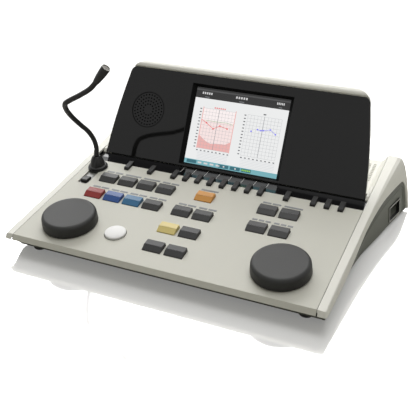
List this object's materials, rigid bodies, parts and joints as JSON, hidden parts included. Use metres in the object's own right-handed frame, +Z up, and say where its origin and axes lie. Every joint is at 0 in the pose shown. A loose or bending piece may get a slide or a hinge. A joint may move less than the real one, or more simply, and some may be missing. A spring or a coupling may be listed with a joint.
{
  "type": "audiometer",
  "caption": "Desktop audiometer with a sloping key panel, large dials, a tilting display lid and a plug-in gooseneck microphone.",
  "frame": {"origin": "on the table, under the middle of the console", "axes": "+X right and +Y to the back for the person at the keys, +Z up"},
  "size_m": [0.407, 0.2884, 0.1966],
  "materials": {
    "light_plastic": "satin",
    "plate_plastic": "fine texture",
    "grey_plastic": "fine texture",
    "gloss_black": "polished",
    "key_grey": "satin",
    "key_dark": "satin",
    "key_red": "satin",
    "key_blue": "satin",
    "key_light_blue": "satin",
    "key_orange": "satin",
    "key_yellow": "satin",
    "white_plastic": "satin",
    "soft_touch": "soft touch",
    "black_plastic": "satin",
    "bar_plastic": "diffusing",
    "screen_glass": "anti-glare",
    "grille_metal": "fine mesh",
    "board": "solder mask",
    "steel": "turned",
    "rubber": "matt"
  },
  "bodies": {
    "console": {"lower_case": "grey_plastic", "cheek_left": "light_plastic", "cheek_right": "light_plastic", "rear_deck": "light_plastic", "faceplate": "plate_plastic", "function_strip": "gloss_black", "indicator_bars": "bar_plastic", "connector_panel": "black_plastic", "jack_sockets": "black_plastic", "mains_inlet": "black_plastic", "key_board": "board", "main_board": "board", "mic_socket": "black_plastic", "feet": "rubber", "pins_and_screws": "steel"},
    "key_1": {"key_1": "key_grey"},
    "key_2": {"key_2": "key_grey"},
    "key_3": {"key_3": "key_grey"},
    "key_4": {"key_4": "key_grey"},
    "key_5": {"key_5": "key_red"},
    "key_6": {"key_6": "key_blue"},
    "key_7": {"key_7": "key_light_blue"},
    "key_8": {"key_8": "key_grey"},
    "key_9": {"key_9": "key_orange"},
    "key_10": {"key_10": "key_grey"},
    "key_11": {"key_11": "key_grey"},
    "key_12": {"key_12": "key_yellow"},
    "key_13": {"key_13": "key_grey"},
    "key_14": {"key_14": "key_grey"},
    "key_15": {"key_15": "key_grey"},
    "key_16": {"key_16": "key_grey"},
    "key_17": {"key_17": "key_grey"},
    "key_18": {"key_18": "key_grey"},
    "key_19": {"key_19": "key_grey"},
    "function_key_1": {"function_key_1": "key_dark"},
    "function_key_2": {"function_key_2": "key_dark"},
    "function_key_3": {"function_key_3": "key_dark"},
    "function_key_4": {"function_key_4": "key_dark"},
    "function_key_5": {"function_key_5": "key_dark"},
    "function_key_6": {"function_key_6": "key_dark"},
    "function_key_7": {"function_key_7": "key_dark"},
    "function_key_8": {"function_key_8": "key_dark"},
    "function_key_9": {"function_key_9": "key_dark"},
    "function_key_10": {"function_key_10": "key_dark"},
    "function_key_11": {"function_key_11": "key_dark"},
    "function_key_12": {"function_key_12": "key_dark"},
    "function_key_13": {"function_key_13": "key_dark"},
    "function_key_14": {"function_key_14": "key_dark"},
    "tone_button": {"tone_button": "white_plastic"},
    "mic_latch": {"mic_latch": "black_plastic"},
    "dial_left": {"dial_left": "soft_touch"},
    "dial_right": {"dial_right": "soft_touch"},
    "mains_switch": {"mains_switch": "black_plastic"},
    "display": {"display_back_shell": "light_plastic", "display_front_bezel": "gloss_black", "screen_panel": "screen_glass", "speaker": "grille_metal"},
    "microphone": {"mic_plug": "black_plastic", "gooseneck": "black_plastic", "mic_capsule": "grille_metal"}
  },
  "joints": [
    {"name": "key_1_press", "type": "slide", "parent": "console", "child": "key_1", "axis": [0, 0.1331, -0.9911], "range_m": [0, 0.0015], "stiffness_N_per_m": 400, "springref_m": -0.0006},
    {"name": "key_2_press", "type": "slide", "parent": "console", "child": "key_2", "axis": [0, 0.1331, -0.9911], "range_m": [0, 0.0015], "stiffness_N_per_m": 400, "springref_m": -0.0006},
    {"name": "key_3_press", "type": "slide", "parent": "console", "child": "key_3", "axis": [0, 0.1331, -0.9911], "range_m": [0, 0.0015], "stiffness_N_per_m": 400, "springref_m": -0.0006},
    {"name": "key_4_press", "type": "slide", "parent": "console", "child": "key_4", "axis": [0, 0.1331, -0.9911], "range_m": [0, 0.0015], "stiffness_N_per_m": 400, "springref_m": -0.0006},
    {"name": "key_5_press", "type": "slide", "parent": "console", "child": "key_5", "axis": [0, 0.1331, -0.9911], "range_m": [0, 0.0015], "stiffness_N_per_m": 400, "springref_m": -0.0006},
    {"name": "key_6_press", "type": "slide", "parent": "console", "child": "key_6", "axis": [0, 0.1331, -0.9911], "range_m": [0, 0.0015], "stiffness_N_per_m": 400, "springref_m": -0.0006},
    {"name": "key_7_press", "type": "slide", "parent": "console", "child": "key_7", "axis": [0, 0.1331, -0.9911], "range_m": [0, 0.0015], "stiffness_N_per_m": 400, "springref_m": -0.0006},
    {"name": "key_8_press", "type": "slide", "parent": "console", "child": "key_8", "axis": [0, 0.1331, -0.9911], "range_m": [0, 0.0015], "stiffness_N_per_m": 400, "springref_m": -0.0006},
    {"name": "key_9_press", "type": "slide", "parent": "console", "child": "key_9", "axis": [0, 0.1331, -0.9911], "range_m": [0, 0.0015], "stiffness_N_per_m": 400, "springref_m": -0.0006},
    {"name": "key_10_press", "type": "slide", "parent": "console", "child": "key_10", "axis": [0, 0.1331, -0.9911], "range_m": [0, 0.0015], "stiffness_N_per_m": 400, "springref_m": -0.0006},
    {"name": "key_11_press", "type": "slide", "parent": "console", "child": "key_11", "axis": [0, 0.1331, -0.9911], "range_m": [0, 0.0015], "stiffness_N_per_m": 400, "springref_m": -0.0006},
    {"name": "key_12_press", "type": "slide", "parent": "console", "child": "key_12", "axis": [0, 0.1331, -0.9911], "range_m": [0, 0.0015], "stiffness_N_per_m": 400, "springref_m": -0.0006},
    {"name": "key_13_press", "type": "slide", "parent": "console", "child": "key_13", "axis": [0, 0.1331, -0.9911], "range_m": [0, 0.0015], "stiffness_N_per_m": 400, "springref_m": -0.0006},
    {"name": "key_14_press", "type": "slide", "parent": "console", "child": "key_14", "axis": [0, 0.1331, -0.9911], "range_m": [0, 0.0015], "stiffness_N_per_m": 400, "springref_m": -0.0006},
    {"name": "key_15_press", "type": "slide", "parent": "console", "child": "key_15", "axis": [0, 0.1331, -0.9911], "range_m": [0, 0.0015], "stiffness_N_per_m": 400, "springref_m": -0.0006},
    {"name": "key_16_press", "type": "slide", "parent": "console", "child": "key_16", "axis": [0, 0.1331, -0.9911], "range_m": [0, 0.0015], "stiffness_N_per_m": 400, "springref_m": -0.0006},
    {"name": "key_17_press", "type": "slide", "parent": "console", "child": "key_17", "axis": [0, 0.1331, -0.9911], "range_m": [0, 0.0015], "stiffness_N_per_m": 400, "springref_m": -0.0006},
    {"name": "key_18_press", "type": "slide", "parent": "console", "child": "key_18", "axis": [0, 0.1331, -0.9911], "range_m": [0, 0.0015], "stiffness_N_per_m": 400, "springref_m": -0.0006},
    {"name": "key_19_press", "type": "slide", "parent": "console", "child": "key_19", "axis": [0, 0.1331, -0.9911], "range_m": [0, 0.0015], "stiffness_N_per_m": 400, "springref_m": -0.0006},
    {"name": "function_key_1_press", "type": "slide", "parent": "console", "child": "function_key_1", "axis": [0, 0.1331, -0.9911], "range_m": [0, 0.0015], "stiffness_N_per_m": 400, "springref_m": -0.0006},
    {"name": "function_key_2_press", "type": "slide", "parent": "console", "child": "function_key_2", "axis": [0, 0.1331, -0.9911], "range_m": [0, 0.0015], "stiffness_N_per_m": 400, "springref_m": -0.0006},
    {"name": "function_key_3_press", "type": "slide", "parent": "console", "child": "function_key_3", "axis": [0, 0.1331, -0.9911], "range_m": [0, 0.0015], "stiffness_N_per_m": 400, "springref_m": -0.0006},
    {"name": "function_key_4_press", "type": "slide", "parent": "console", "child": "function_key_4", "axis": [0, 0.1331, -0.9911], "range_m": [0, 0.0015], "stiffness_N_per_m": 400, "springref_m": -0.0006},
    {"name": "function_key_5_press", "type": "slide", "parent": "console", "child": "function_key_5", "axis": [0, 0.1331, -0.9911], "range_m": [0, 0.0015], "stiffness_N_per_m": 400, "springref_m": -0.0006},
    {"name": "function_key_6_press", "type": "slide", "parent": "console", "child": "function_key_6", "axis": [0, 0.1331, -0.9911], "range_m": [0, 0.0015], "stiffness_N_per_m": 400, "springref_m": -0.0006},
    {"name": "function_key_7_press", "type": "slide", "parent": "console", "child": "function_key_7", "axis": [0, 0.1331, -0.9911], "range_m": [0, 0.0015], "stiffness_N_per_m": 400, "springref_m": -0.0006},
    {"name": "function_key_8_press", "type": "slide", "parent": "console", "child": "function_key_8", "axis": [0, 0.1331, -0.9911], "range_m": [0, 0.0015], "stiffness_N_per_m": 400, "springref_m": -0.0006},
    {"name": "function_key_9_press", "type": "slide", "parent": "console", "child": "function_key_9", "axis": [0, 0.1331, -0.9911], "range_m": [0, 0.0015], "stiffness_N_per_m": 400, "springref_m": -0.0006},
    {"name": "function_key_10_press", "type": "slide", "parent": "console", "child": "function_key_10", "axis": [0, 0.1331, -0.9911], "range_m": [0, 0.0015], "stiffness_N_per_m": 400, "springref_m": -0.0006},
    {"name": "function_key_11_press", "type": "slide", "parent": "console", "child": "function_key_11", "axis": [0, 0.1331, -0.9911], "range_m": [0, 0.0015], "stiffness_N_per_m": 400, "springref_m": -0.0006},
    {"name": "function_key_12_press", "type": "slide", "parent": "console", "child": "function_key_12", "axis": [0, 0.1331, -0.9911], "range_m": [0, 0.0015], "stiffness_N_per_m": 400, "springref_m": -0.0006},
    {"name": "function_key_13_press", "type": "slide", "parent": "console", "child": "function_key_13", "axis": [0, 0.1331, -0.9911], "range_m": [0, 0.0015], "stiffness_N_per_m": 400, "springref_m": -0.0006},
    {"name": "function_key_14_press", "type": "slide", "parent": "console", "child": "function_key_14", "axis": [0, 0.1331, -0.9911], "range_m": [0, 0.0015], "stiffness_N_per_m": 400, "springref_m": -0.0006},
    {"name": "tone_button_press", "type": "slide", "parent": "console", "child": "tone_button", "axis": [0, 0.1331, -0.9911], "range_m": [0, 0.0015], "stiffness_N_per_m": 400, "springref_m": -0.0006},
    {"name": "mic_latch_slide", "type": "slide", "parent": "console", "child": "mic_latch", "axis": [0, -0.9911, -0.1331], "range_m": [0, 0.002], "stiffness_N_per_m": 300, "springref_m": -0.0005},
    {"name": "dial_left_turn", "type": "hinge", "parent": "console", "child": "dial_left", "pos_m": [-0.1225, -0.10319, 0.0357], "axis": [0, -0.1331, 0.9911], "continuous": true},
    {"name": "dial_right_turn", "type": "hinge", "parent": "console", "child": "dial_right", "pos_m": [0.1225, -0.10319, 0.0357], "axis": [0, -0.1331, 0.9911], "continuous": true},
    {"name": "mains_switch_rock", "type": "hinge", "parent": "console", "child": "mains_switch", "pos_m": [0.108, 0.08192, 0.025], "axis": [1, 0, 0], "range_deg": [0, 14]},
    {"name": "display_tilt", "type": "hinge", "parent": "console", "child": "display", "pos_m": [0, 0.05742, 0.048], "axis": [1, 0, 0], "range_deg": [-53, 15]},
    {"name": "microphone_unplug", "type": "slide", "parent": "console", "child": "microphone", "axis": [0, -0.1331, 0.9911], "range_m": [0, 0.03]}
  ]
}
